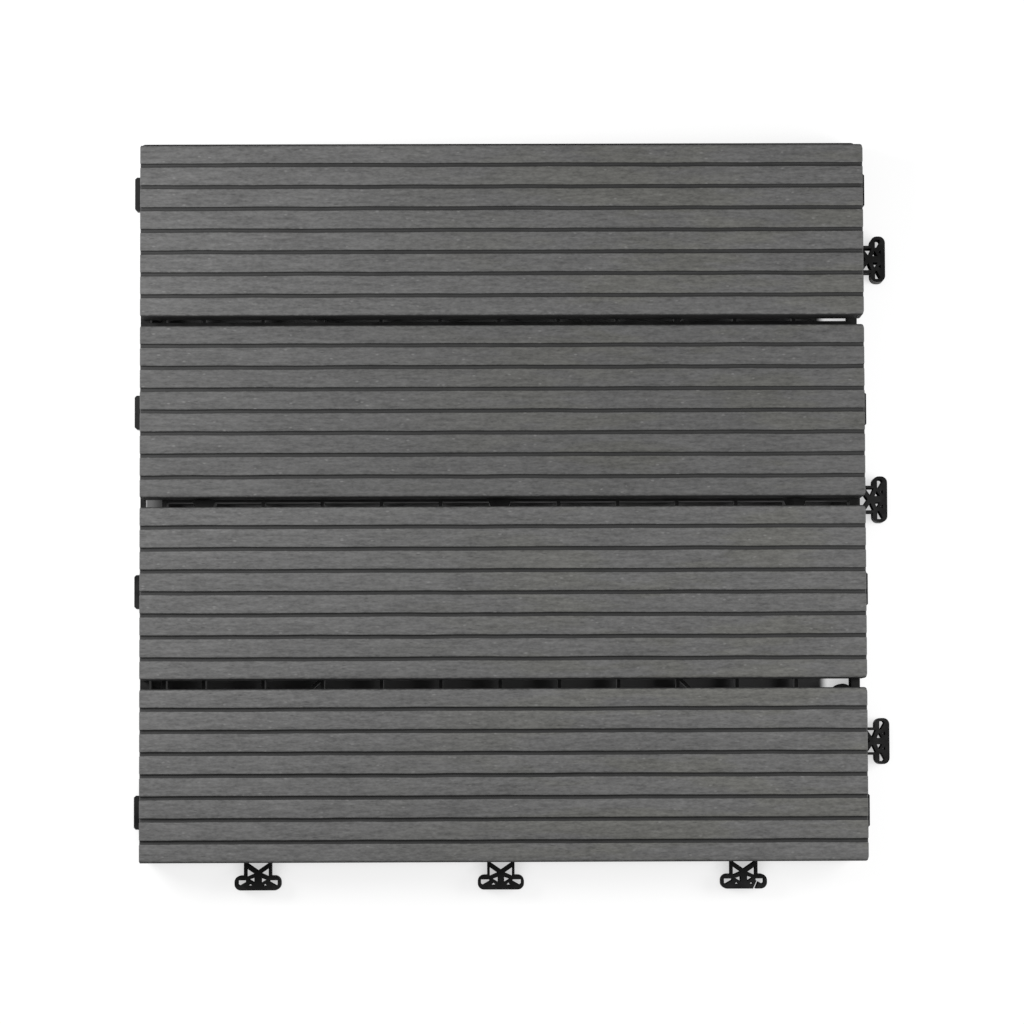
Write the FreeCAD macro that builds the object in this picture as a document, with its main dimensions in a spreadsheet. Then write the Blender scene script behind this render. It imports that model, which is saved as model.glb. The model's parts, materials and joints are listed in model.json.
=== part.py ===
import FreeCAD, Part
import math
import os
import re
import Sketcher

# Interlocking deck tile: four grooved composite slats screwed to one moulded lattice base.
# Millimetres. The origin is on the ground under the middle of the base, +Z is up and the
# slats run along X. Three T-shaped tabs stand out of the +X side and three of the -Y side.
# The sockets that take a neighbour's tabs are in the -X and +Y sides.

SIZES = {
    "slat_length": 297.0,
    "slat_width": 70.8,
    "slat_thickness": 12.0,
    "slat_gap": 3.75,
    "slat_edge_radius": 1.4,
    "slat_shift_x": 1.3,
    "slat_shift_y": 1.6,
    "groove_pitch": 9.0,
    "groove_width": 1.5,
    "groove_depth": 1.3,
    "end_overhang": 0.3,
    "side_margin": 1.0,
    "base_height": 10.0,
    "base_corner_radius": 2.0,
    "wall_height": 9.0,
    "outer_wall": 1.2,
    "wall_slot": 1.2,
    "inner_wall": 1.3,
    "rim_cap": 1.5,
    "frame_rib": 1.6,
    "rib_height": 7.0,
    "rib_width": 1.4,
    "brace_width": 1.2,
    "foot_diameter": 9.0,
    "pad_diameter": 8.4,
    "pad_offset": 19.5,
    "tile_gap": 3.6,
    "tab_pitch": 100.0,
    "neck_width": 11.3,
    "head_width": 19.0,
    "head_depth": 6.05,
    "head_radius": 2.6,
    "neck_wall": 1.1,
    "head_back_wall": 1.9,
    "head_front_wall": 1.85,
    "head_end_wall": 1.3,
    "web": 0.95,
    "web_cross": 1.2,
    "core_width": 2.7,
    "fit_clearance": 0.4,
    "socket_wall": 2.2,
    "socket_side": 1.2,
    "bar_height": 2.0,
    "split_width": 1.0,
    "nub_length": 14.0,
    "nub_height": 4.0,
    "low_nub": 3.0,
    "nub_bevel": 0.8,
    "nub_inset": 19.8,
    "post_width": 9.6,
    "screw_spread": 24.4,
    "screw_seat": 3.5,
    "screw_head_diameter": 7.0,
    "seat_clearance": 0.3,
}

SLATS = 4
GROOVES = 7
CELLS = 12
TABS = 3
FOOT_NODES = (-5, 0, 5)
BRACE_NODES = (0,)
POST_NODE = 4

doc = FreeCAD.newDocument("deck_tile")
sheet = doc.addObject("Spreadsheet::Sheet", "dim")
for row_number, (size_name, size_value) in enumerate(SIZES.items(), 1):
    sheet.set(f"A{row_number}", size_name)
    sheet.set(f"B{row_number}", str(size_value))
    sheet.setAlias(f"B{row_number}", size_name)
doc.recompute()

# Places and sizes worked out from the driving dimensions, as formulas
SLAT_STEP = "(slat_width + slat_gap)"
HALF_X = "(slat_length / 2 - end_overhang)"
HALF_Y = f"(({SLATS} * slat_width + {SLATS - 1} * slat_gap) / 2 + side_margin)"
WALL_FOOT = "(base_height - wall_height)"
RIB_FOOT = "(base_height - rib_height)"
BAND = "(outer_wall + wall_slot + inner_wall)"
CAVITY_END = "(socket_wall + head_depth + 2 * fit_clearance)"
FRAME_END = f"({CAVITY_END} + frame_rib)"
PITCH_X = f"((2 * {HALF_X} - {BAND}) / {CELLS})"
PITCH_Y = f"((2 * {HALF_Y} - {BAND}) / {CELLS})"
PAD_DEPTH = f"(({BAND} + {FRAME_END}) / 2)"
HEAD_BACK = "(tile_gap + socket_wall + fit_clearance)"
HEAD_FRONT = f"({HEAD_BACK} + head_depth)"
TAB_TOP = "(base_height - bar_height - fit_clearance)"
CROSS = f"({HEAD_BACK} - web_cross)"
SEAT = "(base_height - screw_seat)"
SCREW_X = f"({POST_NODE} * {PITCH_X})"
CAVITY_HALF = "(head_width / 2 + fit_clearance)"


def formula(text):
    """The text with each size name pointed at its cell."""
    return re.sub(r"[a-z_]+", lambda word: f"dim.{word[0]}" if word[0] in SIZES else word[0], text)


def number(text):
    """The present value of a formula."""
    return float(sheet.evalExpression(formula(text)))


def slat_place(index):
    """Y of a slat's middle, slat 0 at the +Y side."""
    return f"({(SLATS - 1) / 2 - index} * {SLAT_STEP} - slat_shift_y)"


def on_side(side, outward, along):
    """Formulas for X and Y of a point seen from the middle of one side's outer face."""
    across, run = {
        "right": (f"({HALF_X} + ({outward}))", along),
        "left": (f"(-{HALF_X} - ({outward}))", along),
        "back": (f"({HALF_Y} + ({outward}))", along),
        "front": (f"(-{HALF_Y} - ({outward}))", along),
    }[side]
    return (across, run) if side in ("right", "left") else (run, across)


def new_body(label):
    """A body whose label names its file."""
    body = doc.addObject("PartDesign::Body", label)
    body.Label = label
    return body


def origin_feature(body, role):
    """One of the body's own origin planes or axes."""
    return next(item for item in body.Origin.OriginFeatures if item.Role == role)


def new_sketch(body, name, height="0", plane="XY_Plane"):
    """A sketch parallel to one of the body's planes, at a height given as a formula."""
    sketch = body.newObject("Sketcher::SketchObject", name)
    sketch.AttachmentSupport = (origin_feature(body, plane), [""])
    sketch.MapMode = "FlatFace"
    sketch.setExpression("AttachmentOffset.Base.z", formula(height))
    return sketch


def bind(sketch, kind, places, text):
    """Add a constraint whose value follows a formula."""
    index = sketch.addConstraint(Sketcher.Constraint(kind, *places, number(text)))
    sketch.setExpression(f"Constraints[{index}]", formula(text))


def polygon(sketch, corners):
    """Closed outline of straight lines through corners given as pairs of formulas."""
    points = [FreeCAD.Vector(number(x), number(y), 0) for x, y in corners]
    first = sketch.GeometryCount
    count = len(points)
    sketch.addGeometry([Part.LineSegment(points[i], points[(i + 1) % count]) for i in range(count)], False)
    for i in range(count):
        sketch.addConstraint(Sketcher.Constraint("Coincident", first + i, 2, first + (i + 1) % count, 1))
    for i, (x, y) in enumerate(corners):
        bind(sketch, "DistanceX", (-1, 1, first + i, 1), x)
        bind(sketch, "DistanceY", (-1, 1, first + i, 1), y)


def circle(sketch, x, y, radius):
    """Full circle with its middle and radius as formulas."""
    middle = FreeCAD.Vector(number(x), number(y), 0)
    index = sketch.addGeometry(Part.Circle(middle, FreeCAD.Vector(0, 0, 1), number(radius)), False)
    bind(sketch, "DistanceX", (-1, 1, index, 3), x)
    bind(sketch, "DistanceY", (-1, 1, index, 3), y)
    bind(sketch, "Radius", (index,), radius)


def rounded(sketch, corners):
    """Closed outline of level and upright lines; a corner's third item is its radius, or None."""
    count = len(corners)
    points = [FreeCAD.Vector(number(x), number(y), 0) for x, y, _ in corners]
    radii = [number(radius) if radius else 0.0 for _, _, radius in corners]
    area = sum(points[i].x * points[(i + 1) % count].y - points[(i + 1) % count].x * points[i].y
               for i in range(count))
    ways = [(points[(i + 1) % count] - points[i]).normalize() for i in range(count)]
    lines = []
    for i in range(count):
        following = (i + 1) % count
        start = points[i] + ways[i] * radii[i]
        end = points[following] - ways[i] * radii[following]
        lines.append(sketch.addGeometry(Part.LineSegment(start, end), False))
        level = abs(ways[i].x) > abs(ways[i].y)
        sketch.addConstraint(Sketcher.Constraint("Horizontal" if level else "Vertical", lines[i]))
        kind, text = ("DistanceY", corners[i][1]) if level else ("DistanceX", corners[i][0])
        bind(sketch, kind, (-1, 1, lines[i], 1), text)
    for i in range(count):
        before, after = lines[i - 1], lines[i]
        if not corners[i][2]:
            sketch.addConstraint(Sketcher.Constraint("Coincident", before, 2, after, 1))
            continue
        middle = points[i] - ways[i - 1] * radii[i] + ways[i] * radii[i]
        turn = ways[i - 1].x * ways[i].y - ways[i - 1].y * ways[i].x
        begin, stop = (ways[i] * -1, ways[i - 1]) if turn > 0 else (ways[i - 1], ways[i] * -1)
        from_angle = math.atan2(begin.y, begin.x)
        to_angle = math.atan2(stop.y, stop.x)
        if to_angle < from_angle:
            to_angle += 2 * math.pi
        ring = Part.Circle(middle, FreeCAD.Vector(0, 0, 1), radii[i])
        arc = sketch.addGeometry(Part.ArcOfCircle(ring, from_angle, to_angle), False)
        near, far = (1, 2) if turn > 0 else (2, 1)
        sketch.addConstraint(Sketcher.Constraint("Tangent", before, 2, arc, near))
        sketch.addConstraint(Sketcher.Constraint("Tangent", after, 1, arc, far))
        bind(sketch, "Radius", (arc,), corners[i][2])
    return area


def box_outline(sketch, low_x, low_y, high_x, high_y, radius=None):
    """Upright rectangle, with all its corners rounded if a radius is given."""
    rounded(sketch, [(low_x, low_y, radius), (high_x, low_y, radius),
                     (high_x, high_y, radius), (low_x, high_y, radius)])


def base_square(sketch, depth, radius=None):
    """The base's outline, a depth in from its outer faces."""
    box_outline(sketch, f"-({HALF_X} - ({depth}))", f"-({HALF_Y} - ({depth}))",
                f"{HALF_X} - ({depth})", f"{HALF_Y} - ({depth})", radius)


def pad(body, name, sketch, height, middle=False):
    """Material added from the sketch upwards."""
    feature = body.newObject("PartDesign::Pad", name)
    feature.Profile = sketch
    feature.setExpression("Length", formula(height))
    feature.Midplane = middle
    return feature


def pocket(body, name, sketch, height):
    """Material taken away from the sketch upwards."""
    feature = body.newObject("PartDesign::Pocket", name)
    feature.Profile = sketch
    feature.Reversed = True
    feature.setExpression("Length", formula(height))
    return feature


def row(body, name, originals, axis, spacing, count):
    """Copies of features in a line along one of the body's axes."""
    pattern = body.newObject("PartDesign::LinearPattern", name)
    pattern.Originals = originals
    pattern.Direction = (origin_feature(body, axis), [""])
    pattern.Mode = "Spacing"
    pattern.setExpression("Offset", formula(spacing))
    pattern.Occurrences = count
    body.Tip = pattern
    return pattern


def flat_sketch(name, height="0"):
    """A sketch of its own, level, at a height given as a formula."""
    sketch = doc.addObject("Sketcher::SketchObject", name)
    sketch.setExpression("Placement.Base.z", formula(height))
    return sketch


def raised(name, sketch, height):
    """Every closed outline of a sketch drawn upwards into solids."""
    solid = doc.addObject("Part::Extrusion", name)
    solid.Base = sketch
    solid.DirMode = "Normal"
    solid.Solid = True
    solid.FaceMakerClass = "Part::FaceMakerBullseye"
    solid.setExpression("LengthFwd", formula(height))
    return solid


def joined(name, items):
    """Solids made one."""
    whole = doc.addObject("Part::MultiFuse", name)
    whole.Shapes = items
    return whole


def make_ribs():
    """Straight ribs both ways, from wall to wall."""
    end_x, end_y = f"({HALF_X} - outer_wall / 2)", f"({HALF_Y} - outer_wall / 2)"
    along_x = flat_sketch("ribs_x_outline", RIB_FOOT)
    along_y = flat_sketch("ribs_y_outline", RIB_FOOT)
    for line in range(1 - CELLS // 2, CELLS // 2):
        place_x, place_y = f"{line} * {PITCH_X}", f"{line} * {PITCH_Y}"
        box_outline(along_x, f"-{end_x}", f"{place_y} - rib_width / 2", end_x, f"{place_y} + rib_width / 2")
        box_outline(along_y, f"{place_x} - rib_width / 2", f"-{end_y}", f"{place_x} + rib_width / 2", end_y)
    return [raised("ribs_x", along_x, "rib_height"), raised("ribs_y", along_y, "rib_height")]


def make_braces():
    """Slanting ribs that run corner-wise through the nodes, from wall to wall."""
    reach_x = f"({HALF_X} - {BAND} + 0.2 * inner_wall)"
    reach_y = f"({HALF_Y} - {BAND} + 0.2 * inner_wall)"
    edge = "brace_width * 0.7071"
    braces = []
    for name, lean in (("rising", 1), ("falling", -1)):
        sketch = flat_sketch(f"{name}_braces_outline", RIB_FOOT)
        for nodes in BRACE_NODES:
            shift = f"{abs(nodes)} * {PITCH_X}"
            way = 1 if nodes >= 0 else -1
            corners = [(f"{shift} - {reach_y} - {edge}", f"-{reach_y}"),
                       (f"{shift} - {reach_y} + {edge}", f"-{reach_y}"),
                       (reach_x, f"{reach_x} - {shift} - {edge}"), (reach_x, f"{reach_x} - {shift} + {edge}")]
            polygon(sketch, [(f"{way * lean} * ({x})", f"{way} * ({y})") for x, y in corners])
        braces.append(raised(f"{name}_braces", sketch, "rib_height"))
    return braces


def make_rings():
    """Two thin perimeter walls under one cap, which leaves a channel open below."""
    walls = (("outer_ring", "0", "outer_wall", WALL_FOOT, "wall_height"),
             ("inner_ring", "outer_wall + wall_slot", BAND, WALL_FOOT, "wall_height"),
             ("cap_ring", "0", BAND, "base_height - rim_cap", "rim_cap"))
    rings = []
    for name, near, far, foot, height in walls:
        sketch = flat_sketch(f"{name}_outline", foot)
        base_square(sketch, near, "base_corner_radius" if near == "0" else None)
        base_square(sketch, far)
        rings.append(raised(name, sketch, height))
    return rings


def make_frame_rib():
    """The rib behind the sockets, along the -X and +Y sides."""
    sketch = flat_sketch("frame_outline", RIB_FOOT)
    outer = (f"-({HALF_X} - {CAVITY_END})", f"({HALF_Y} - {CAVITY_END})")
    inner = (f"-({HALF_X} - {FRAME_END})", f"({HALF_Y} - {FRAME_END})")
    right, front = f"({HALF_X} - outer_wall / 2)", f"-({HALF_Y} - outer_wall / 2)"
    polygon(sketch, [(outer[0], front), outer, (right, outer[1]), (right, inner[1]), inner, (inner[0], front)])
    return raised("frame", sketch, "rib_height")


def foot_places():
    """Nodes of the lattice that stand on a round foot."""
    return [(f"{i} * {PITCH_X}", f"{j} * {PITCH_Y}") for i in FOOT_NODES for j in FOOT_NODES]


def pad_places():
    """Small round feet, one beside every tab."""
    places = []
    for side in ("right", "front"):
        for tab in range(TABS):
            along = f"({tab - TABS // 2} * tab_pitch + pad_offset)"
            places.append(on_side(side, f"-{PAD_DEPTH}", along))
    return places


def screw_places():
    """The four screws under each slat, on two of the straight ribs."""
    places = []
    for index in range(SLATS):
        for way_x in (-1, 1):
            for way_y in (-1, 1):
                places.append((f"{way_x} * {SCREW_X}", f"{slat_place(index)} + {way_y} * screw_spread / 2"))
    return places


def rounds(name, places, radius, height):
    """Upright cylinders from the ground, one at each place."""
    sketch = flat_sketch(f"{name}_outline")
    for x, y in places:
        circle(sketch, x, y, radius)
    return raised(name, sketch, height)


def make_posts():
    """Square posts about the screws, from the ground to the slats."""
    sketch = flat_sketch("posts_outline")
    half = "post_width / 2"
    for x, y in screw_places():
        box_outline(sketch, f"{x} - {half}", f"{y} - {half}", f"{x} + {half}", f"{y} + {half}")
    return raised("posts", sketch, "base_height")


def socket_rectangle(body, side, name, height, near, far, half):
    """Rectangle about the first socket of a side, from one depth to another."""
    centre = f"-{TABS // 2} * tab_pitch"
    sketch = new_sketch(body, f"{side}_{name}", height)
    x_near, y_near = on_side(side, near, f"({centre} - {half})")
    x_far, y_far = on_side(side, far, f"({centre} + {half})")
    box_outline(sketch, x_near, y_near, x_far, y_far)
    return sketch


def make_socket_blocks(side, axis):
    """Solid blocks in the perimeter that the sockets are cut in."""
    body = new_body(f"{side}_socket_blocks")
    outline = socket_rectangle(body, side, "block_outline", WALL_FOOT, "-outer_wall / 2", f"-{FRAME_END}",
                               f"({CAVITY_HALF} + socket_side)")
    row(body, f"{side}_blocks", [pad(body, f"{side}_block", outline, "wall_height")], axis, "tab_pitch", TABS)
    return body


def make_socket_spaces(side, axis):
    """The spaces of the T-shaped sockets: open below, with a bar left over each neck slot."""
    body = new_body(f"{side}_socket_spaces")
    head = socket_rectangle(body, side, "head_outline", "0", "-socket_wall", f"-{CAVITY_END}", CAVITY_HALF)
    neck = socket_rectangle(body, side, "neck_outline", "0", "outer_wall", "-(socket_wall + fit_clearance)",
                            "(neck_width / 2 + fit_clearance)")
    spaces = [pad(body, f"{side}_head_space", head, "base_height + bar_height"),
              pad(body, f"{side}_neck_space", neck, "base_height - bar_height")]
    row(body, f"{side}_spaces", spaces, axis, "tab_pitch", TABS)
    return body


def tab_openings():
    """Openings between a tab's walls and its crossed web, as pairs of outward and along."""
    neck = "(neck_width / 2 - neck_wall)"
    core = "(core_width / 2)"
    back = f"({HEAD_BACK} + head_back_wall)"
    front = f"({HEAD_FRONT} - head_front_wall)"
    end = "(head_width / 2 - head_end_wall)"
    root = [("web", neck), (f"{CROSS} - 0.95 * web", "0"), ("web", f"-{neck}")]
    half = [
        [("3.3 * web", neck), (f"{HEAD_BACK} + 0.5 * web", neck), (f"{CROSS} + 0.3 * web", "1.55 * web")],
        [(f"{CROSS} + 2.2 * web", core), (f"{CROSS} + 3.0 * web", "3.7 * web"), (f"{CROSS} + 4.4 * web", core)],
        [(f"{front} - web", "3.2 * web"), (front, "4.1 * web"), (front, "2.3 * web")],
        [(back, f"{neck} + 0.3 * web"), (back, end), (f"{front} - 0.6 * web", end),
         (f"{front} - 0.1 * web", f"{end} - 0.7 * web"), (f"{back} + 0.7 * web", f"{neck} + 0.3 * web")],
    ]
    mirrored = [[(outward, f"-({along})") for outward, along in outline] for outline in half]
    return [root] + half + mirrored


def make_tabs(side, axis):
    """T-shaped tabs with thin walls and a crossed web inside."""
    body = new_body(f"{side}_tabs")
    centre = f"(-{TABS // 2} * tab_pitch)"
    outline = new_sketch(body, f"{side}_tab_outline", WALL_FOOT)
    half_neck, half_head = "neck_width / 2", "head_width / 2"
    rim = [("-outer_wall / 2", f"-{half_neck}", None), (HEAD_BACK, f"-{half_neck}", None),
           (HEAD_BACK, f"-{half_head}", "head_radius"), (HEAD_FRONT, f"-{half_head}", "head_radius"),
           (HEAD_FRONT, half_head, "head_radius"), (HEAD_BACK, half_head, "head_radius"),
           (HEAD_BACK, half_neck, None), ("-outer_wall / 2", half_neck, None)]
    rounded(outline, [on_side(side, outward, f"({centre} + {along})") + (radius,) for outward, along, radius in rim])
    tab = pad(body, f"{side}_tab", outline, f"{TAB_TOP} - {WALL_FOOT}")
    windows = new_sketch(body, f"{side}_tab_openings")
    for opening in tab_openings():
        polygon(windows, [on_side(side, outward, f"({centre} + {along})") for outward, along in opening])
    cut = pocket(body, f"{side}_tab_windows", windows, "base_height")
    row(body, f"{side}_tab_row", [tab, cut], axis, "tab_pitch", TABS)
    return body


def make_split():
    """The split through the head of the tab nearest the +X, -Y corner."""
    sketch = flat_sketch("split_outline")
    inner = (f"{CROSS} + 3.9 * web", "5.6 * web")
    outer = (f"{HEAD_FRONT} + web", "3.5 * web")
    sides = [inner, outer, (outer[0], f"{outer[1]} + split_width"), (inner[0], f"{inner[1]} + split_width")]
    polygon(sketch, [on_side("front", outward, f"(tab_pitch + {along})") for outward, along in sides])
    return raised("split", sketch, "base_height")


def make_nubs():
    """Spacer nubs, low on the -X side and high on the +X side, so that neighbours' nubs pass."""
    inner = f"{SLAT_STEP} / 2"
    outer = f"{HALF_Y} - nub_inset"
    nubs = []
    for side, reach, foot in (("left", "low_nub", WALL_FOOT), ("right", "tile_gap", "base_height - nub_height")):
        sketch = flat_sketch(f"{side}_nubs_outline", foot)
        for place in (f"-({outer})", f"-({inner})", inner, outer):
            low = f"({place} - nub_length / 2)"
            high = f"({place} + nub_length / 2)"
            near, inside = f"{reach} - nub_bevel", "-outer_wall / 2"
            rim = [(inside, low), (near, low), (reach, f"{low} + nub_bevel"), (reach, f"{high} - nub_bevel"),
                   (near, high), (inside, high)]
            polygon(sketch, [on_side(side, outward, along) for outward, along in rim])
        nubs.append(raised(f"{side}_nubs", sketch, "nub_height"))
    return nubs


def make_base():
    """The moulded base in one piece."""
    feet = [rounds("feet", foot_places(), "foot_diameter / 2", "base_height"),
            rounds("pads", pad_places(), "pad_diameter / 2", "base_height"),
            make_posts()]
    blocks = [make_socket_blocks("left", "Y_Axis"), make_socket_blocks("back", "X_Axis")]
    tabs = [make_tabs("right", "Y_Axis"), make_tabs("front", "X_Axis")]
    lattice = make_ribs() + make_braces() + [make_frame_rib()]
    moulding = joined("moulding", lattice + make_rings() + feet + blocks + tabs + make_nubs())
    spaces = [make_socket_spaces("left", "Y_Axis"), make_socket_spaces("back", "X_Axis"), make_split(),
              rounds("screw_wells", screw_places(), "screw_head_diameter / 2 + seat_clearance", SEAT)]
    base = doc.addObject("Part::Cut", "base_grid")
    base.Label = "base_grid"
    base.Base = moulding
    base.Tool = joined("spaces", spaces)
    base.Refine = True
    return base


def slat_profile(sketch):
    """Cross-section of a slat: flat below, grooved above, with rounded upper edges."""
    half = "slat_width / 2"
    corners = [(f"-{half}", "0", None), (half, "0", None),
               (half, "slat_thickness", "slat_edge_radius")]
    for groove in reversed(range(GROOVES)):
        middle = f"{groove - (GROOVES - 1) / 2} * groove_pitch"
        right, left = f"{middle} + groove_width / 2", f"{middle} - groove_width / 2"
        floor = "slat_thickness - groove_depth"
        corners += [(right, "slat_thickness", None), (right, floor, None),
                    (left, floor, None), (left, "slat_thickness", None)]
    corners.append((f"-{half}", "slat_thickness", "slat_edge_radius"))
    rounded(sketch, corners)


def make_slat(index):
    """One slat, laid on the base."""
    body = new_body(f"slat_{index + 1}")
    profile = new_sketch(body, f"profile_{index + 1}", plane="YZ_Plane")
    slat_profile(profile)
    pad(body, f"board_{index + 1}", profile, "slat_length", middle=True)
    body.setExpression("Placement.Base.x", formula("slat_shift_x"))
    body.setExpression("Placement.Base.y", formula(slat_place(index)))
    body.setExpression("Placement.Base.z", formula("base_height"))
    return body


pieces = [make_base()] + [make_slat(index) for index in range(SLATS)]
doc.recompute()

failed = [item.Name for item in doc.Objects if "Invalid" in item.State or "Error" in item.State]
if failed:
    raise RuntimeError(f"these features failed: {failed}")
for piece in pieces:
    shape = piece.Shape
    if shape.isNull() or not shape.isValid() or len(shape.Solids) != 1:
        raise RuntimeError(f"{piece.Label} isn't one valid solid")

os.makedirs("parts", exist_ok=True)
for piece in pieces:
    piece.Shape.exportStep(f"parts/{piece.Label}.step")
    print(f"{piece.Label}: {len(piece.Shape.Faces)} faces, "
          f"{piece.Shape.Volume / 1000:.1f} cm3")
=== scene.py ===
"""Looks of an interlocking deck tile: grooved composite slats screwed to a black moulded lattice base.

Every length is in metres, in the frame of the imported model: the ground is z = 0, the slats run
along X, and the tabs stand out of the +X and -Y sides.
"""

import json
import logging
import math
from collections.abc import Callable, Sequence
from dataclasses import dataclass
from enum import Enum

import bmesh
import bpy
from mathutils import Matrix, Vector, noise

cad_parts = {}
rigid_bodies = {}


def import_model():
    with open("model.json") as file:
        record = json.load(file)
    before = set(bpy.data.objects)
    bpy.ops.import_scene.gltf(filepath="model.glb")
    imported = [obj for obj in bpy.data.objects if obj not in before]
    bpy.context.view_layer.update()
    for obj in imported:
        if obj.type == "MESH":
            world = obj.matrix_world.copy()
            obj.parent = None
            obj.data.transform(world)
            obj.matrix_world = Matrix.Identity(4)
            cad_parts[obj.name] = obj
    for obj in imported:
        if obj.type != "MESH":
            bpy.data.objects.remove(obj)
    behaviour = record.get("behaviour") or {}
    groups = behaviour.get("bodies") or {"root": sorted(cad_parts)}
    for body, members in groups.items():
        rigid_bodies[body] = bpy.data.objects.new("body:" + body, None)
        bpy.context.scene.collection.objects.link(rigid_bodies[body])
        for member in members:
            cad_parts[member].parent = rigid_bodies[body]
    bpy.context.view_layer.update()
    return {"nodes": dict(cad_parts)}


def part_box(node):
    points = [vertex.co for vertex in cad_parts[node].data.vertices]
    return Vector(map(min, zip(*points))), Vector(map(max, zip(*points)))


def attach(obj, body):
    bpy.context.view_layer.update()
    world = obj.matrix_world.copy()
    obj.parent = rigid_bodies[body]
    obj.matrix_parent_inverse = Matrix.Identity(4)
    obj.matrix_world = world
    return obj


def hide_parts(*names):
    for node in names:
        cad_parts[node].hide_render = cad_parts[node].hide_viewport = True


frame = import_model()

MM = 0.001
LOG = logging.getLogger("deck_tile")
SLAT_TONES = {1: 0.88, 2: 0.785, 3: 0.91, 4: 0.955}  # how light each slat is, from +Y to -Y

Socket = bpy.types.NodeSocket
Value = float | Socket
Point = tuple[float, float]


class Slot(Enum):
    """The record's material slots of the pieces that are made here."""

    COMPOSITE = "composite"
    STEEL = "screw_steel"


class Graph:
    """Adds and joins the nodes of one node tree."""

    def __init__(self, tree: bpy.types.NodeTree) -> None:
        """Starts on a tree, which keeps the nodes that it has."""
        self.tree = tree

    def add(self, kind: str, inputs: dict[str | int, object] | None = None,
            **settings: object) -> bpy.types.Node:
        """Adds a node.

        Args:
            kind: the node's type name without its ShaderNode start.
            inputs: values or sockets for its inputs, by name or index.
            settings: properties of the node itself.

        Returns:
            The new node.
        """
        name = kind if kind.startswith("NodeGroup") else f"ShaderNode{kind}"
        node = self.tree.nodes.new(name)
        for key, value in settings.items():
            setattr(node, key, value)
        for key, value in (inputs or {}).items():
            if isinstance(value, Socket):
                self.tree.links.new(value, node.inputs[key])
            else:
                node.inputs[key].default_value = value
        return node

    def math(self, operation: str, first: Value, second: Value = 0.0, clamp: bool = False) -> Socket:
        """Works out one sum of two values.

        Args:
            operation: the Math node's operation.
            first: its first value or socket.
            second: its second value or socket.
            clamp: keep the result between 0 and 1.

        Returns:
            The socket with the result.
        """
        return self.add("Math", {0: first, 1: second}, operation=operation, use_clamp=clamp).outputs[0]

    def blend(self, amount: Value, low: object, high: object, mode: str = "MIX") -> Socket:
        """Mixes two colours.

        Args:
            amount: how much of the second colour.
            low: the first colour or socket.
            high: the second colour or socket.
            mode: the blend type.

        Returns:
            The socket with the mixed colour.
        """
        node = self.add("Mix", data_type="RGBA", blend_type=mode)
        for index, value in ((0, amount), (6, low), (7, high)):
            if isinstance(value, Socket):
                self.tree.links.new(value, node.inputs[index])
            else:
                node.inputs[index].default_value = value
        return node.outputs[2]

    def steps(self, value: Value, low: float, high: float,
              to_low: float = 0.0, to_high: float = 1.0) -> Socket:
        """Maps a value smoothly from one range to another, held at both ends."""
        inputs = {"Value": value, "From Min": low, "From Max": high, "To Min": to_low, "To Max": to_high}
        return self.add("MapRange", inputs, interpolation_type="SMOOTHSTEP").outputs["Result"]


def grey(level: float, warmth: float = 0.0) -> tuple[float, float, float, float]:
    """A near-neutral linear colour, a little towards yellow where warmth is above 0."""
    return (level * (1 + warmth), level, level * (1 - warmth), 1.0)


def make_group(name: str, inputs: Sequence[tuple[str, str, float | None]], outputs: Sequence[tuple[str, str]],
               fill: Callable[[Graph, dict[str, Socket]], dict[str, Socket]]) -> bpy.types.NodeTree:
    """Builds a shader node group with named inputs and outputs.

    Args:
        name: the group's name.
        inputs: name, kind (Float or Vector) and default of each input.
        outputs: name and kind of each output.
        fill: builds the inside from the input sockets and returns the output sockets by name.

    Returns:
        The group.
    """
    tree = bpy.data.node_groups.new(name, "ShaderNodeTree")
    for label, kind, default in inputs:
        socket = tree.interface.new_socket(label, in_out="INPUT", socket_type=f"NodeSocket{kind}")
        if default is not None:
            socket.default_value = default
    for label, kind in outputs:
        tree.interface.new_socket(label, in_out="OUTPUT", socket_type=f"NodeSocket{kind}")
    graph = Graph(tree)
    entry = graph.add("NodeGroupInput")
    leave = graph.add("NodeGroupOutput")
    made = fill(graph, {label: entry.outputs[label] for label, _, _ in inputs})
    for label, socket in made.items():
        tree.links.new(socket, leave.inputs[label])
    return tree


def stretched(graph: Graph, place: Socket, along: Socket, across: Socket) -> Socket:
    """A place with X multiplied by one value and Y and Z by another."""
    scale = graph.add("CombineXYZ", {0: along, 1: across, 2: across}).outputs[0]
    return graph.add("VectorMath", {0: place, 1: scale}, operation="MULTIPLY").outputs[0]


def drawn_streaks(graph: Graph, given: dict[str, Socket]) -> dict[str, Socket]:
    """Inside of the streaks left along X by extrusion and brushing."""
    place = stretched(graph, given["Place"], given["Along"], given["Across"])
    field = graph.add("TexNoise", {"Vector": place, "Scale": 1.0, "Detail": 4.0, "Roughness": 0.62})
    tone = graph.add("MapRange", {"Value": field.outputs[0], "From Min": 0.3, "From Max": 0.7})
    return {"Tone": tone.outputs["Result"]}


def fibre_flecks(graph: Graph, given: dict[str, Socket]) -> dict[str, Socket]:
    """Inside of the scattered flecks of wood fibre, each a short dash along X."""
    place = stretched(graph, given["Place"], given["Along"], given["Across"])
    cells = graph.add("TexVoronoi", {"Vector": place, "Scale": 1.0, "Randomness": 1.0})
    chance = graph.add("SeparateColor", {0: cells.outputs["Color"]}).outputs[0]
    chosen = graph.math("LESS_THAN", chance, given["Share"])
    shape = graph.steps(cells.outputs["Distance"], 0.5, 0.1)
    return {"Mask": graph.math("MULTIPLY", chosen, shape)}


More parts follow.
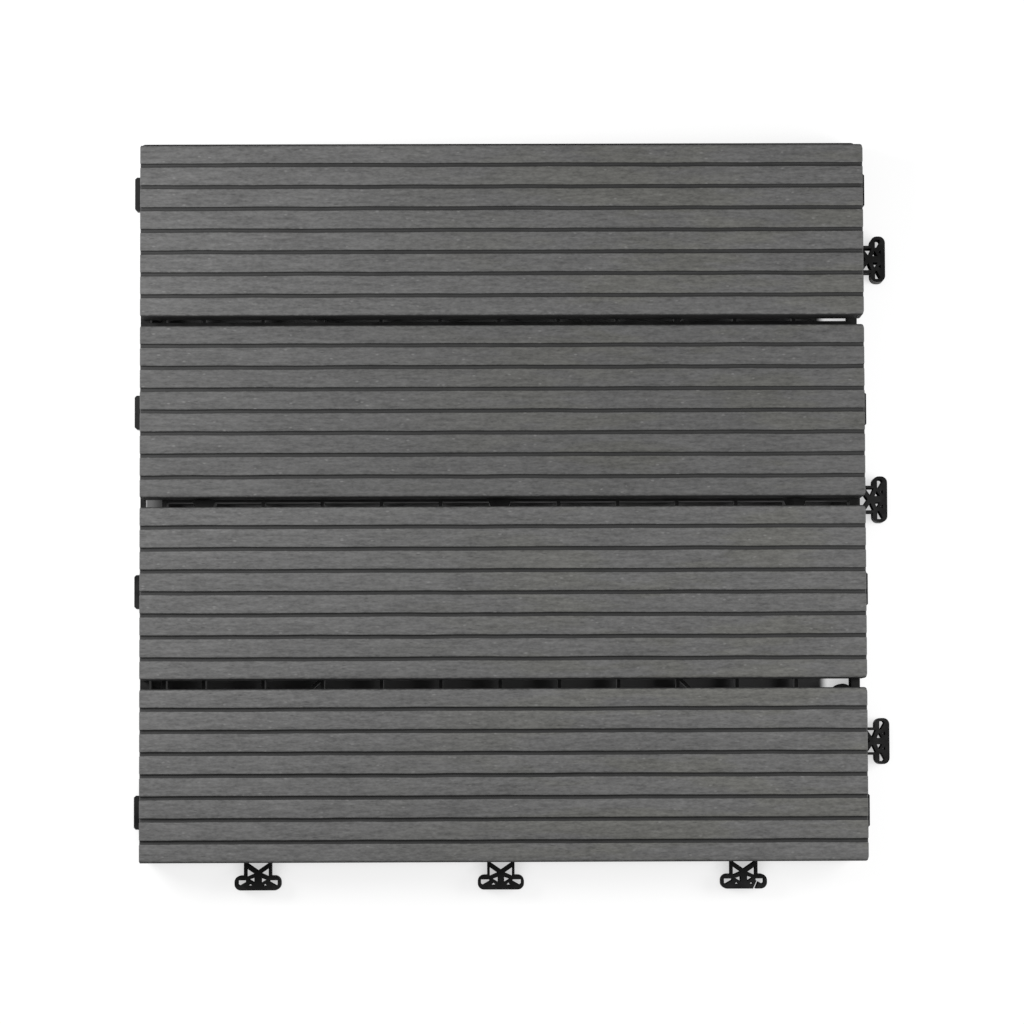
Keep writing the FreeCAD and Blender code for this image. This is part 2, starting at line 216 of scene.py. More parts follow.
def moulded_skin(graph: Graph, given: dict[str, Socket]) -> dict[str, Socket]:
    """Inside of the fine spark-eroded skin of a moulding, with slow flow marks."""
    fine = graph.add("TexNoise", {"Vector": given["Place"], "Scale": given["Grain"], "Detail": 3.0})
    slow = graph.add("TexNoise", {"Vector": given["Place"], "Scale": given["Flow"], "Detail": 2.0,
                                  "Distortion": 1.4})
    return {"Height": fine.outputs[0], "Cloud": graph.steps(slow.outputs[0], 0.35, 0.68)}


def settled_dust(graph: Graph, given: dict[str, Socket]) -> dict[str, Socket]:
    """Inside of the dust that lies on faces that look up."""
    normal = graph.add("NewGeometry").outputs["Normal"]
    upward = graph.steps(graph.add("SeparateXYZ", {0: normal}).outputs[2], 0.4, 0.95)
    patches = graph.add("TexNoise", {"Vector": given["Place"], "Scale": given["Patch"], "Detail": 6.0,
                                     "Roughness": 0.7})
    cover = graph.steps(patches.outputs[0], 0.42, 0.72)
    return {"Mask": graph.math("MULTIPLY", upward, cover)}


@dataclass(frozen=True)
class Effects:
    """The node groups that more than one finish uses."""

    streaks: bpy.types.NodeTree
    flecks: bpy.types.NodeTree
    skin: bpy.types.NodeTree
    dust: bpy.types.NodeTree

    @classmethod
    def build(cls) -> "Effects":
        """Builds each group once."""
        place = ("Place", "Vector", None)
        along, across = ("Along", "Float", 60.0), ("Across", "Float", 2000.0)
        return cls(
            streaks=make_group("DrawnStreaks", [place, along, across], [("Tone", "Float")], drawn_streaks),
            flecks=make_group("FibreFlecks", [place, along, across, ("Share", "Float", 0.05)],
                              [("Mask", "Float")], fibre_flecks),
            skin=make_group("MouldedSkin", [place, ("Grain", "Float", 3000.0), ("Flow", "Float", 30.0)],
                            [("Height", "Float"), ("Cloud", "Float")], moulded_skin),
            dust=make_group("SettledDust", [place, ("Patch", "Float", 60.0)], [("Mask", "Float")],
                            settled_dust),
        )


class Finish:
    """A material being built: its graph, its Principled shader and the place on the surface."""

    def __init__(self, name: str) -> None:
        """Starts a material whose places are the frame's own metres."""
        self.material = bpy.data.materials.new(name)
        self.material.use_nodes = True
        self.graph = Graph(self.material.node_tree)
        self.shader = self.material.node_tree.nodes["Principled BSDF"]
        self.place = self.graph.add("TexCoord").outputs["Object"]

    def effect(self, tree: bpy.types.NodeTree, **values: float) -> bpy.types.Node:
        """Places a shared group with its own values, at the surface's place."""
        node = self.graph.add("Group", node_tree=tree)
        self.graph.tree.links.new(self.place, node.inputs["Place"])
        for name, value in values.items():
            node.inputs[name].default_value = value
        return node

    def feed(self, name: str, socket: Socket) -> None:
        """Joins a socket to one input of the shader."""
        self.graph.tree.links.new(socket, self.shader.inputs[name])

    def rough_surface(self, height: Socket, strength: float, depth: float,
                      normal: Socket | None = None) -> None:
        """Feeds the shader's normal from a height.

        Args:
            height: the height socket, 0 to 1.
            strength: how strongly it shows.
            depth: the real depth in metres.
            normal: a normal to start from, such as a softened edge's.
        """
        inputs: dict[str | int, object] = {"Height": height, "Strength": strength, "Distance": depth}
        if normal is not None:
            inputs["Normal"] = normal
        self.feed("Normal", self.graph.add("Bump", inputs).outputs[0])


@dataclass(frozen=True)
class CompositeFinish:
    """Extruded wood-plastic composite: a brushed walking face over a darker, smoother skin.

    The walking face runs between a dark and a light grey. Its olive patches start at one place
    along X and are full at another. The brushing fades out between two depths below the face.
    Below it lies the skin, whose darker grey is partly the real unbrushed skin and partly painted
    shade in the grooves and on the sides.
    The sawn ends are shares of the face's dark and light greys.
    """

    name: str
    tone: float
    dark: float = 0.066
    light: float = 0.2
    warmth: float = 0.006
    # skin grey: partly the real unbrushed skin, partly painted shade in the grooves and on the sides
    skin: float = 0.033
    fleck: float = 0.27
    fleck_cover: float = 0.4
    pit: float = 0.45
    pit_cover: float = 0.45
    olive: float = 0.06
    olive_starts: float = -0.08
    olive_full: float = 0.06
    fine_share: float = 0.5
    broad_share: float = 0.38
    blotch_share: float = 0.12
    ragged: float = 0.25 * MM
    # depths below the face between which the brushed face gives way to the skin and its painted groove shade
    brushed_to: float = 0.16 * MM
    shaded_skin_from: float = 0.62 * MM
    skin_rough: float = 0.66
    face_rough: float = 0.8
    sawn_dark: float = 0.55
    sawn_light: float = 1.05
    sawn_rough: float = 0.9
    relief: float = 0.12 * MM

    def build(self, effects: Effects, top: float) -> bpy.types.Material:
        """Makes the material.

        Args:
            effects: the shared node groups.
            top: the height of the walking face.

        Returns:
            The material.
        """
        finish = Finish(f"composite_{self.name}")
        graph = finish.graph
        along, _, height = graph.add("SeparateXYZ", {0: finish.place}).outputs
        fine = finish.effect(effects.streaks, Along=480.0, Across=1200.0).outputs["Tone"]
        broad = finish.effect(effects.streaks, Along=90.0, Across=760.0).outputs["Tone"]
        blotch = finish.effect(effects.streaks, Along=25.0, Across=45.0).outputs["Tone"]
        pits = finish.effect(effects.flecks, Along=330.0, Across=1900.0, Share=0.035).outputs["Mask"]
        crumb = finish.effect(effects.skin, Grain=1900.0, Flow=220.0).outputs["Height"]
        tone = graph.math("ADD", graph.math("MULTIPLY", fine, self.fine_share),
                          graph.math("MULTIPLY", broad, self.broad_share))
        tone = graph.math("ADD", tone, graph.math("MULTIPLY", blotch, self.blotch_share))
        face = graph.blend(tone, grey(self.dark * self.tone, self.warmth),
                           grey(self.light * self.tone, self.warmth))
        face = self.olive_patches(finish, effects, along, face)
        face = self.fibres(finish, effects, pits, face)
        # the skin's grey: partly real unbrushed skin, partly painted shade in the grooves and on the sides
        skin = graph.blend(broad, grey(self.skin * 0.8), grey(self.skin * 1.25))

        ragged = graph.math("MULTIPLY", graph.math("SUBTRACT", fine, 0.5), self.ragged)
        # mask by depth below the face: 1 on the brushed face, 0 in the grooves and on the sides, where the
        # skin's painted shade lies
        brushed = graph.steps(graph.math("ADD", height, ragged), top - self.shaded_skin_from, top - self.brushed_to)
        faced = graph.add("SeparateXYZ", {0: graph.add("NewGeometry").outputs["Normal"]}).outputs[0]
        sawn = graph.steps(graph.math("ABSOLUTE", faced), 0.55, 0.85)
        end = graph.blend(crumb, grey(self.dark * self.sawn_dark), grey(self.light * self.sawn_light))
        finish.feed("Base Color", graph.blend(sawn, graph.blend(brushed, skin, face), end))

        rough = graph.steps(brushed, 0.0, 1.0, self.skin_rough, self.face_rough)
        rough = graph.math("ADD", rough, graph.math("MULTIPLY", graph.math("SUBTRACT", fine, 0.5), 0.12))
        sawn_rough = graph.math("MULTIPLY", sawn, self.sawn_rough)
        finish.feed("Roughness", graph.math("MAXIMUM", rough, sawn_rough))
        finish.shader.inputs["Specular IOR Level"].default_value = 0.35
        relief = graph.math("ADD", graph.math("MULTIPLY", fine, 0.7), graph.math("MULTIPLY", broad, 0.5))
        relief = graph.math("SUBTRACT", relief, graph.math("MULTIPLY", pits, 0.8))
        relief = graph.math("ADD", relief, graph.math("MULTIPLY", crumb, sawn))
        finish.rough_surface(relief, 0.5, self.relief)
        return finish.material

    def olive_patches(self, finish: Finish, effects: Effects, along: Socket, face: Socket) -> Socket:
        """Leans slow patches of the face towards olive.

        Args:
            finish: the material being built.
            effects: the shared node groups.
            along: the place along X.
            face: the face's colour.

        Returns:
            The socket with the new colour.
        """
        graph = finish.graph
        patch = finish.effect(effects.streaks, Along=16.0, Across=70.0).outputs["Tone"]
        lean = graph.steps(along, self.olive_starts, self.olive_full)
        olive = graph.math("MULTIPLY", graph.steps(patch, 0.4, 0.7), lean)
        return graph.blend(olive, face, (1.0, 1.0, 1.0 - self.olive, 1.0), "MULTIPLY")

    def fibres(self, finish: Finish, effects: Effects, pits: Socket, face: Socket) -> Socket:
        """Lays pale wood fibres and the dark pits of torn ones on the face.

        Args:
            finish: the material being built.
            effects: the shared node groups.
            pits: the mask of the pits.
            face: the face's colour.

        Returns:
            The socket with the new colour.
        """
        graph = finish.graph
        flecks = finish.effect(effects.flecks, Along=480.0, Across=1000.0, Share=0.035).outputs["Mask"]
        face = graph.blend(graph.math("MULTIPLY", flecks, self.fleck_cover), face, grey(self.fleck, 0.01))
        return graph.blend(graph.math("MULTIPLY", pits, self.pit_cover), face, grey(self.dark * self.pit))


@dataclass(frozen=True)
class MouldedFinish:
    """Black moulded polypropylene with a fine skin, softened edges and a little dust."""

    black: float = 0.006
    cloudy: float = 0.011
    dust: float = 0.07
    edge: float = 0.22 * MM

    def build(self, effects: Effects) -> bpy.types.Material:
        """Makes the material from the shared node groups."""
        finish = Finish("base_moulded")
        graph = finish.graph
        skin = finish.effect(effects.skin, Grain=2600.0, Flow=55.0)
        dust = finish.effect(effects.dust, Patch=170.0).outputs["Mask"]
        body = graph.blend(skin.outputs["Cloud"], grey(self.black), grey(self.cloudy))
        film = graph.math("MULTIPLY", dust, 0.12)
        finish.feed("Base Color", graph.blend(film, body, grey(self.dust, 0.02)))
        rough = graph.steps(skin.outputs["Cloud"], 0.0, 1.0, 0.36, 0.5)
        finish.feed("Roughness", graph.math("ADD", rough, graph.math("MULTIPLY", dust, 0.18)))
        finish.shader.inputs["Specular IOR Level"].default_value = 0.2
        soft = graph.add("Bevel", {"Radius": self.edge}, samples=4).outputs[0]
        finish.rough_surface(skin.outputs["Height"], 0.35, 0.06 * MM, soft)
        return finish.material


@dataclass(frozen=True)
class SteelFinish:
    """Zinc-plated screw steel, dulled in patches."""

    bright: tuple[float, float, float, float] = (0.63, 0.63, 0.6, 1.0)
    dull: tuple[float, float, float, float] = (0.4, 0.39, 0.36, 1.0)

    def build(self, effects: Effects) -> bpy.types.Material:
        """Makes the material from the shared node groups."""
        finish = Finish("screw_zinc")
        graph = finish.graph
        skin = finish.effect(effects.skin, Grain=5200.0, Flow=420.0)
        finish.feed("Base Color", graph.blend(skin.outputs["Cloud"], self.bright, self.dull))
        finish.shader.inputs["Metallic"].default_value = 1.0
        finish.feed("Roughness", graph.steps(skin.outputs["Cloud"], 0.0, 1.0, 0.26, 0.48))
        finish.rough_surface(skin.outputs["Height"], 0.25, 0.03 * MM)
        return finish.material


def place_piece(name: str, build: bmesh.types.BMesh, material: bpy.types.Material,
                sharp_from: float = 40.0) -> bpy.types.Object:
    """Turns a finished bmesh into a piece that rides on the tile.

    Args:
        name: the piece's name.
        build: its mesh, freed here.
        material: its finish.
        sharp_from: angle in degrees from which an edge shows as a crease.

    Returns:
        The piece.
    """
    bmesh.ops.recalc_face_normals(build, faces=build.faces)
    mesh = bpy.data.meshes.new(name)
    build.to_mesh(mesh)
    build.free()
    mesh.shade_smooth()
    mesh.set_sharp_from_angle(angle=math.radians(sharp_from))
    mesh.materials.append(material)
    piece = bpy.data.objects.new(name, mesh)
    bpy.context.scene.collection.objects.link(piece)
    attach(piece, "root")
    return piece


def bent_corner(before: Vector, corner: Vector, after: Vector, radius: float, steps: int) -> list[Vector]:
    """Points of the arc that rounds one corner, in the direction of travel."""
    back, on = (before - corner).normalized(), (after - corner).normalized()
    half = back.angle(on) / 2
    reach = radius / math.tan(half)
    middle = corner + (back + on).normalized() * (radius / math.sin(half))
    start, stop = corner + back * reach - middle, corner + on * reach - middle
    turn = start.angle_signed(stop)
    return [middle + Matrix.Rotation(-turn * k / steps, 2) @ start for k in range(steps + 1)]


@dataclass
class GroovedBoard:
    """One slat: an extruded board with worn long edges and seven soft-rimmed grooves."""

    index: int
    grooves: int = 7
    groove_pitch: float = 9.0 * MM
    groove_width: float = 1.5 * MM
    groove_depth: float = 1.3 * MM
    edge_radius: float = 1.4 * MM
    foot_radius: float = 0.5 * MM
    rim_radius: float = 0.45 * MM
    floor_radius: float = 0.4 * MM
    end_bevel: float = 0.3 * MM
    corner_radii: tuple[float, float] = (0.3 * MM, 1.2 * MM)
    wander: float = 0.2 * MM
    wander_rate: float = 45.0
    lane_seed: float = 3.7
    board_seed: float = 17.3
    fine_steps: int = 3
    edge_steps: int = 8
    sections: int = 90

    @property
    def node(self) -> str:
        """Name of the solid that the board stands for."""
        return f"slat_{self.index}"

    def corners(self, half: float, height: float) -> list[tuple[Vector, float, int]]:
        """The cross-section's corners, anticlockwise, each with its radius and number of steps."""
        fine = self.fine_steps
        points = [(Vector((-half, 0)), self.foot_radius, fine), (Vector((half, 0)), self.foot_radius, fine),
                  (Vector((half, height)), self.edge_radius, self.edge_steps)]
        wide, floor = self.groove_width / 2, height - self.groove_depth
        for groove in reversed(range(self.grooves)):
            middle = (groove - (self.grooves - 1) / 2) * self.groove_pitch
            points += [(Vector((middle + wide, height)), self.rim_radius, fine),
                       (Vector((middle + wide, floor)), self.floor_radius, fine),
                       (Vector((middle - wide, floor)), self.floor_radius, fine),
                       (Vector((middle - wide, height)), self.rim_radius, fine)]
        points.append((Vector((-half, height)), self.edge_radius, self.edge_steps))
        return points

    def outline(self, half: float, height: float) -> list[Vector]:
        """The cross-section as points across and up, anticlockwise."""
        corners = self.corners(half, height)
        line: list[Vector] = []
        for i, (corner, radius, steps) in enumerate(corners):
            after = corners[(i + 1) % len(corners)][0]
            line += bent_corner(corners[i - 1][0], corner, after, radius, steps)
        return line

    @staticmethod
    def drawn_in(line: list[Vector], depth: float) -> list[Vector]:
        """The outline moved inwards by a depth."""
        moved = []
        for i, point in enumerate(line):
            before, after = point - line[i - 1], line[(i + 1) % len(line)] - point
            way = (before.normalized() + after.normalized()).normalized()
            moved.append(point + Vector((-way.y, way.x)) * depth)
        return moved

    def near_end(self, radius: float) -> list[float]:
        """Distances from one end of the sections that bevel it and round its corners."""
        arc = [share * radius for share in (0.5, 0.75, 1.0, 2.0)]
        return [0.0, self.end_bevel] + [place for place in arc if place > 1.3 * self.end_bevel]

    def stations(self, low: float, high: float) -> list[tuple[float, float, float]]:
        """Places of the cross-sections along X.

        Args:
            low: the board's low end.
            high: its high end.

        Returns:
            Each place with its distance from the nearer end and that end's corner radius.
        """
        left, right = self.corner_radii
        first, last = self.near_end(left), self.near_end(right)
        step = (high - low - first[-1] - last[-1]) / self.sections
        middle = [(low + first[-1] + step * k, first[-1] + step, left) for k in range(1, self.sections)]
        return [(low + d, d, left) for d in first] + middle + [(high - d, d, right) for d in reversed(last)]

    def worn(self, point: Vector, x: float, depth: float, radius: float, half: float,
             height: float) -> Vector:
        """One point of the board with its rounded end corners and the wander of its tooling.

        Args:
            point: the point across and up, from the middle of the board's underside.
            x: its place along the board.
            depth: its distance from the nearer end.
            radius: the radius of that end's corners.
            half: half of the board's width.
            height: the board's thickness.

        Returns:
            The point in the frame's directions, from the middle of the board's underside.
        """
        across, up = point
        if depth < radius:
            pull = radius - math.sqrt(radius**2 - (radius - depth) ** 2)
            weight = max(0.0, abs(across) - half + 3 * radius) / (3 * radius)
            across -= math.copysign(pull * weight, across)
        lane = round(across / self.groove_pitch * 2) * self.lane_seed + self.index * self.board_seed
        if up > height * 0.6 and abs(across) < half - self.edge_radius:
            across += self.wander * noise.noise(Vector((x * self.wander_rate, lane, 0.0)))
            up -= 0.3 * self.wander * abs(noise.noise(Vector((x * 2 * self.wander_rate, lane, 5.0))))
        return Vector((x, across, up))

    def build(self, material: bpy.types.Material) -> bpy.types.Object:
        """Builds the board in the place of its solid.

        Args:
            material: the composite finish.

        Returns:
            The board.
        """
        low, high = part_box(self.node)
        half, height = (high[1] - low[1]) / 2, high[2] - low[2]
        base = Vector((0, (low[1] + high[1]) / 2, low[2]))
        full = self.outline(half, height)
        inset = self.drawn_in(full, self.end_bevel)
        build = bmesh.new()
        rings = []
        for x, depth, radius in self.stations(low[0], high[0]):
            line = inset if depth < 0.5 * self.end_bevel else full
            rings.append([build.verts.new(base + self.worn(point, x, depth, radius, half, height))
                          for point in line])
        count = len(full)
        for first, second in zip(rings, rings[1:]):
            for i in range(count):
                j = (i + 1) % count
                build.faces.new((first[i], first[j], second[j], second[i]))
        for ring in (rings[0], rings[-1]):
            cap = build.faces.new(ring)
            cap.normal_update()
            bmesh.ops.triangulate(build, faces=[cap], ngon_method="EAR_CLIP")
        piece = place_piece(f"{self.node}_board", build, material)
        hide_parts(self.node)
        return piece


@dataclass
class PanHeadScrews:
    """The four screws under one slat, their heads up inside the wells of the base."""

    index: int
    reach_x: float = 97.567 * MM
    spread: float = 24.4 * MM
    seat: float = 6.5 * MM
    head_radius: float = 3.5 * MM
    head_height: float = 2.4 * MM
    shank_radius: float = 1.75 * MM
    shank_length: float = 11.0 * MM
    recess_span: float = 3.8 * MM
    recess_width: float = 0.95 * MM
    recess_depth: float = 1.5 * MM
    recess_taper: float = 0.6
    crown_angles: tuple[int, ...] = (0, 25, 40, 52, 62, 71, 80)
    tip_length: float = 3.0 * MM
    rim_break: float = 0.15 * MM
    sides: int = 32

    def profile(self) -> list[Point]:
        """Radius and height of the screw's turned outline, from the head's crown to its tip."""
        crown = [(self.head_radius * math.sin(a), -self.head_height * (0.35 + 0.65 * math.cos(a) ** 0.8))
                 for a in map(math.radians, self.crown_angles)]
        rim = [(self.head_radius, -0.32 * self.head_height), (self.head_radius, -0.08 * self.head_height),
               (self.head_radius - self.rim_break, 0.0)]
        shank = [(self.shank_radius, 0.0), (self.shank_radius, self.shank_length - self.tip_length),
                 (0.0, self.shank_length)]
        return crown + rim + shank

    def turned(self) -> bmesh.types.BMesh:
        """The screw's turned shape, its seat at z = 0 and its head below."""
        build = bmesh.new()
        rings: list[list[bmesh.types.BMVert]] = []
        angles = [2 * math.pi * k / self.sides for k in range(self.sides)]
        for radius, height in self.profile():
            if radius < 1e-6:
                rings.append([build.verts.new((0, 0, height))])
                continue
            rings.append([build.verts.new((radius * math.cos(angle), radius * math.sin(angle), height))
                          for angle in angles])
        for first, second in zip(rings, rings[1:]):
            for i in range(self.sides):
                j = (i + 1) % self.sides
                loop = [first[i % len(first)], first[j % len(first)], second[j % len(second)],
                        second[i % len(second)]]
                build.faces.new(list(dict.fromkeys(loop)))
        return build

    def cutter(self) -> bpy.types.Object:
        """The tapered cross that is cut into the head."""
        long, short = self.recess_span / 2, self.recess_width / 2
        steps = [(long, -short), (long, short), (short, short), (short, long), (-short, long),
                 (-short, short), (-long, short), (-long, -short), (-short, -short), (-short, -long),
                 (short, -long), (short, -short)]
        build = bmesh.new()
        mouth = [build.verts.new((x, y, -self.head_height - MM)) for x, y in steps]
        taper, depth = self.recess_taper, self.recess_depth - self.head_height
        floor = [build.verts.new((taper * x, taper * y, depth)) for x, y in steps]
        for i in range(len(steps)):
            j = (i + 1) % len(steps)
            build.faces.new((mouth[i], mouth[j], floor[j], floor[i]))
        build.faces.new(floor)
        build.faces.new(list(reversed(mouth)))
        bmesh.ops.recalc_face_normals(build, faces=build.faces)
        mesh = bpy.data.meshes.new("recess_cutter")
        build.to_mesh(mesh)
        build.free()
        return bpy.data.objects.new("recess_cutter", mesh)

    def one_screw(self) -> bpy.types.Mesh:
        """A finished screw's mesh, its cross recess cut."""
        build = self.turned()
        bmesh.ops.recalc_face_normals(build, faces=build.faces)
        mesh = bpy.data.meshes.new("screw_blank")
        build.to_mesh(mesh)
        build.free()
        blank, tool = bpy.data.objects.new("screw_blank", mesh), self.cutter()
        scene = bpy.context.scene.collection.objects
        scene.link(blank)
        scene.link(tool)
        cut = blank.modifiers.new("recess", "BOOLEAN")
        cut.operation, cut.solver, cut.object = "DIFFERENCE", "EXACT", tool
        finished = bpy.data.meshes.new_from_object(blank.evaluated_get(bpy.context.evaluated_depsgraph_get()))
        for helper in (blank, tool):
            bpy.data.objects.remove(helper)
        return finished

    def build(self, material: bpy.types.Material) -> bpy.types.Object:
        """Builds the four screws as one piece.

        Args:
            material: the steel finish.

        Returns:
            The piece.
        """
        low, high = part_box(f"slat_{self.index}")
        middle = (low[1] + high[1]) / 2
        shape = self.one_screw()
        build = bmesh.new()
        for way_x in (-1, 1):
            for way_y in (-1, 1):
                seen = len(build.verts)
                build.from_mesh(shape)
                build.verts.ensure_lookup_table()
                turn = Matrix.Rotation(0.7 * self.index + way_x + 0.4 * way_y, 4, "Z")
                move = Matrix.Translation((way_x * self.reach_x, middle + way_y * self.spread / 2, self.seat))
                bmesh.ops.transform(build, matrix=move @ turn, verts=build.verts[seen:])
        bpy.data.meshes.remove(shape)
        return place_piece(f"slat_{self.index}_screws", build, material)


@dataclass
class LatticeBase:
    """The moulded base, whose solid is shown as it is."""

    node: str = "base_grid"

    def dress(self, material: bpy.types.Material) -> bpy.types.Object:
        """Gives the base's own mesh its finish.

        Args:
            material: the moulded finish.

        Returns:
            The base.
        """
        base = frame["nodes"][self.node]
        for slot in base.material_slots:
            slot.material = material
        return base


@dataclass
class Studio:
    """Floor, soft lights and the camera over the tile.

    The floor shows white round the tile and a painted shadow under it, where its paper is painted
    dark and its white fades out. A painted pool of light reaches a little way in under the side of
    the tabs along X, apart from a painted shadow band by the middle tab, and painted contact shade
    dims the white by the tile. Under the tile the floor gives the weaker glow up to one distance
    from a gap's middle and the stronger from another.
    """

    lens: float = 109.2
    eye: tuple[float, float, float] = (-0.00235, -0.11005, 1.2885)
    tilt: float = -0.04664
    roll: float = 0.00334
    sway: float = 0.0057
    rise: float = 0.1072
    floor_size: float = 6.0
    floor_tone: float = 0.86
    floor_drop: float = 0.3 * MM
    # paper colour under the tile: painted shadow
    floor_painted_shadow: float = 0.16
    floor_white: float = 1.16
    near_share: float = 0.7
    shadow_reach: float = 0.32
    under_glow: tuple[float, float] = (0.15, 1.2)
    glow_range: tuple[float, float] = (8.0 * MM, 26.0 * MM)
    slat_step: float = 74.55 * MM
    fade: float = 2.0 * MM
    # painted pool of light under the side of the tabs along X, and a painted shadow band by the middle tab
    painted_light_reach: float = 14.0 * MM
    painted_light_share: float = 0.8
    painted_shadow_band: float = 20.0 * MM
    foot_shade: float = 7.0 * MM
    sky: float = 0.28
    key_place: tuple[float, float, float] = (-0.41, 0.11, 0.36)
    key_power: float = 2.5
    fill_place: tuple[float, float, float] = (0.43, -0.04, 0.3)
    fill_power: float = 1.42
    box_side: float = 0.25

    def lay_floor(self) -> None:
        """Lays the pale floor, which shows white round the tile and keeps its shadow, with a painted shadow
        under the tile.
        """
        half = self.floor_size / 2
        mesh = bpy.data.meshes.new("floor")
        corners = [(-half, -half, 0), (half, -half, 0), (half, half, 0), (-half, half, 0)]
        mesh.from_pydata(corners, [], [(0, 1, 2, 3)])
        floor = bpy.data.objects.new("floor", mesh)
        floor.location.z = -self.floor_drop
        bpy.context.scene.collection.objects.link(floor)
        mesh.materials.append(self.floor_material())

    def floor_material(self) -> bpy.types.Material:
        """Pale matt paper with a painted shadow under the tile, where its colour is painted dark and its own
        white fades out; clear when seen from below.
        """
        material = bpy.data.materials.new("floor_paper")
        material.use_nodes = True
        material.cycles.emission_sampling = "NONE"
        graph = Graph(material.node_tree)
        graph.tree.nodes.remove(graph.tree.nodes["Principled BSDF"])
        outside_painted_shadow = self.floor_outside_painted_shadow(graph)
        white = graph.add("Emission", {"Color": grey(1.0), "Strength": self.floor_white}).outputs[0]
        # painted shadow: the paper is painted dark under the tile
        colour = graph.blend(outside_painted_shadow, grey(self.floor_painted_shadow), grey(self.floor_tone))
        paper = graph.add("BsdfDiffuse", {"Color": colour})
        spot = graph.add("NewGeometry").outputs["Position"]
        away = graph.add("VectorMath", {0: spot}, operation="LENGTH").outputs["Value"]
        own = graph.steps(away, self.shadow_reach, 2.5 * self.shadow_reach, self.near_share, 1.0)
        # the white is taken away under the tile, leaving the painted shadow
        share = graph.math("MULTIPLY", self.seen_directly(graph), graph.math("MULTIPLY", outside_painted_shadow, own))
        mixed = graph.add("MixShader", {0: share, 1: paper.outputs[0], 2: white}).outputs[0]
        glow = graph.add("Emission", {"Color": grey(1.0), "Strength": self.light_below(graph, outside_painted_shadow)})
        mixed = graph.add("AddShader", {0: mixed, 1: glow.outputs[0]}).outputs[0]
        below = graph.add("NewGeometry").outputs["Backfacing"]
        clear = graph.add("BsdfTransparent").outputs[0]
        mixed = graph.add("MixShader", {0: below, 1: mixed, 2: clear}).outputs[0]
        graph.tree.links.new(mixed, graph.tree.nodes["Material Output"].inputs["Surface"])
        return material

    def floor_outside_painted_shadow(self, graph: Graph) -> Socket:
        """Mask of the painted floor shadow: 1 on the floor round the tile, fading to 0 under it, later on the
        side of the tabs along X, where a painted pool of light reaches in apart from a painted shadow band by
        the middle tab; lowered by painted contact shade by the tile's sides.
        """
        half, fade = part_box("base_grid")[1][1], self.fade
        place = graph.add("SeparateXYZ", {0: graph.add("NewGeometry").outputs["Position"]}).outputs
        # painted pool of light reaching in under the tabs along X, cut by a painted shadow band by the middle
        # tab
        inner = half - self.painted_light_reach
        right = graph.steps(place[0], inner - fade, inner + fade)
        shaded = graph.steps(graph.math("ABSOLUTE", place[1]), self.painted_shadow_band, 2 * self.painted_shadow_band)
        right = graph.math("MULTIPLY", graph.math("MULTIPLY", right, self.painted_light_share), shaded)
        beyond = graph.steps(place[0], half - fade, half)
        right = graph.math("MAXIMUM", right, beyond)
        left = graph.steps(graph.math("MULTIPLY", place[0], -1.0), half - fade, half)
        ends = graph.steps(graph.math("ABSOLUTE", place[1]), half - fade, half)
        # painted contact shade: ambient occlusion by the tile lowers the floor's white
        depth = graph.add("AmbientOcclusion", {"Distance": self.foot_shade}, samples=4).outputs["AO"]
        near = graph.steps(depth, 0.0, 0.8, 0.6, 1.0)
        return graph.math("MULTIPLY", near, graph.math("MAXIMUM", ends, graph.math("MAXIMUM", left, right)))

    def light_below(self, graph: Graph, outside_painted_shadow: Socket) -> Socket:
        """The floor's own light under the tile, weak below the gaps, for all but the camera's rays."""
        hidden = graph.steps(graph.math("MAXIMUM", self.seen_directly(graph), outside_painted_shadow), 0.0, 0.1, 1.0, 0.0)
        across = graph.add("SeparateXYZ", {0: graph.add("NewGeometry").outputs["Position"]}).outputs[1]
        from_gap = graph.math("PINGPONG", across, self.slat_step / 2)
        weak, strong = self.under_glow
        return graph.math("MULTIPLY", hidden, graph.steps(from_gap, *self.glow_range, weak, strong))

    @staticmethod
    def seen_directly(graph: Graph) -> Socket:
        """1 for camera and glass rays, 0 for the rays that light the tile."""
        rays = graph.add("LightPath").outputs
        return graph.math("MAXIMUM", rays["Is Camera Ray"], rays["Is Transmission Ray"])

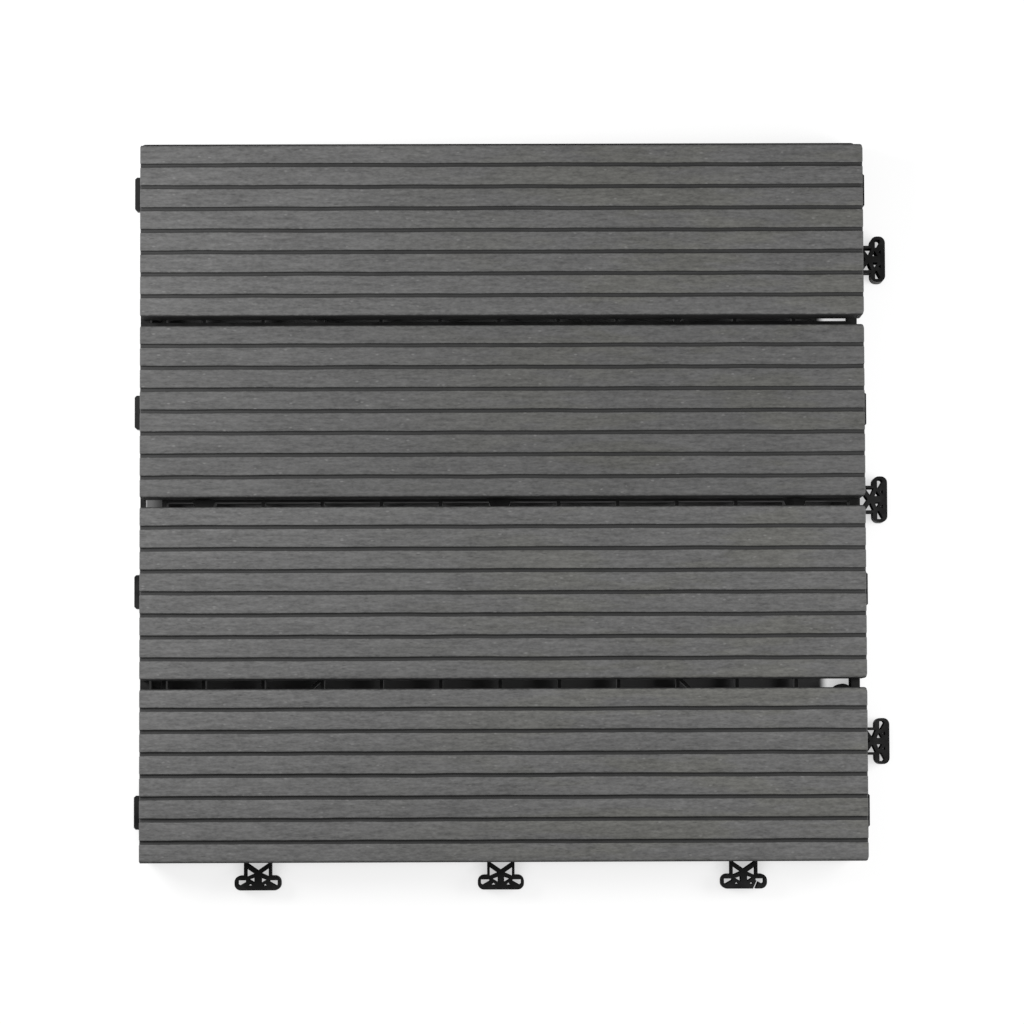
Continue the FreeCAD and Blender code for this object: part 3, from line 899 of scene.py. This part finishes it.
    def set_world(self) -> None:
        """Sets the even sky light and the white backdrop."""
        world = bpy.data.worlds.new("studio")
        bpy.context.scene.world = world
        world.use_nodes = True
        graph = Graph(world.node_tree)
        light = graph.tree.nodes["Background"]
        light.inputs[0].default_value, light.inputs[1].default_value = grey(1.0), self.sky
        white = graph.add("Background", {0: grey(1.0), 1: 1.0}).outputs[0]
        mixed = graph.add("MixShader", {0: self.seen_directly(graph), 1: light.outputs[0], 2: white})
        graph.tree.links.new(mixed.outputs[0], graph.tree.nodes["World Output"].inputs["Surface"])

    def hang_light(self, name: str, place: tuple[float, float, float], power: float) -> None:
        """Hangs a square soft box that looks at the tile.

        Args:
            name: the light's name.
            place: its middle.
            power: its power in watts.
        """
        lamp = bpy.data.lights.new(name, "AREA")
        lamp.shape, lamp.size, lamp.energy = "SQUARE", self.box_side, power
        holder = bpy.data.objects.new(name, lamp)
        holder.location = place
        holder.rotation_euler = Vector(place).to_track_quat("Z", "Y").to_euler()
        bpy.context.scene.collection.objects.link(holder)

    def set_camera(self) -> None:
        """Sets the camera where the photograph was taken from."""
        shot = bpy.data.cameras.new("camera")
        shot.lens, shot.sensor_width, shot.clip_start = self.lens, 36.0, 0.01
        shot.shift_y = self.rise
        eye = bpy.data.objects.new("camera", shot)
        seen = (Matrix.Rotation(self.roll, 3, "Z") @ Matrix.Rotation(self.sway, 3, "Y")
                @ Matrix.Rotation(self.tilt, 3, "X"))
        eye.matrix_world = Matrix.Translation(self.eye) @ seen.transposed().to_4x4()
        bpy.context.scene.collection.objects.link(eye)
        bpy.context.scene.camera = eye

    def build(self) -> None:
        """Sets the whole stage."""
        self.lay_floor()
        self.set_world()
        self.hang_light("key", self.key_place, self.key_power)
        self.hang_light("fill", self.fill_place, self.fill_power)
        self.set_camera()
        bpy.context.scene.view_settings.view_transform = "Standard"


def main() -> None:
    """Builds the tile's pieces, the stage and the camera."""
    logging.basicConfig(level=logging.INFO, format="%(name)s: %(message)s")
    effects = Effects.build()
    plastic = MouldedFinish().build(effects)
    steel = SteelFinish().build(effects)
    pieces = [LatticeBase().dress(plastic)]
    for index, tone in SLAT_TONES.items():
        board = GroovedBoard(index)
        composite = CompositeFinish(board.node, tone=tone).build(effects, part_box(board.node)[1][2])
        pieces.append(board.build(composite))
        pieces.append(PanHeadScrews(index).build(steel))
    Studio().build()
    for piece in pieces:
        LOG.info("%s: %d faces", piece.name, len(piece.data.polygons))


if __name__ == "__main__":
    main()
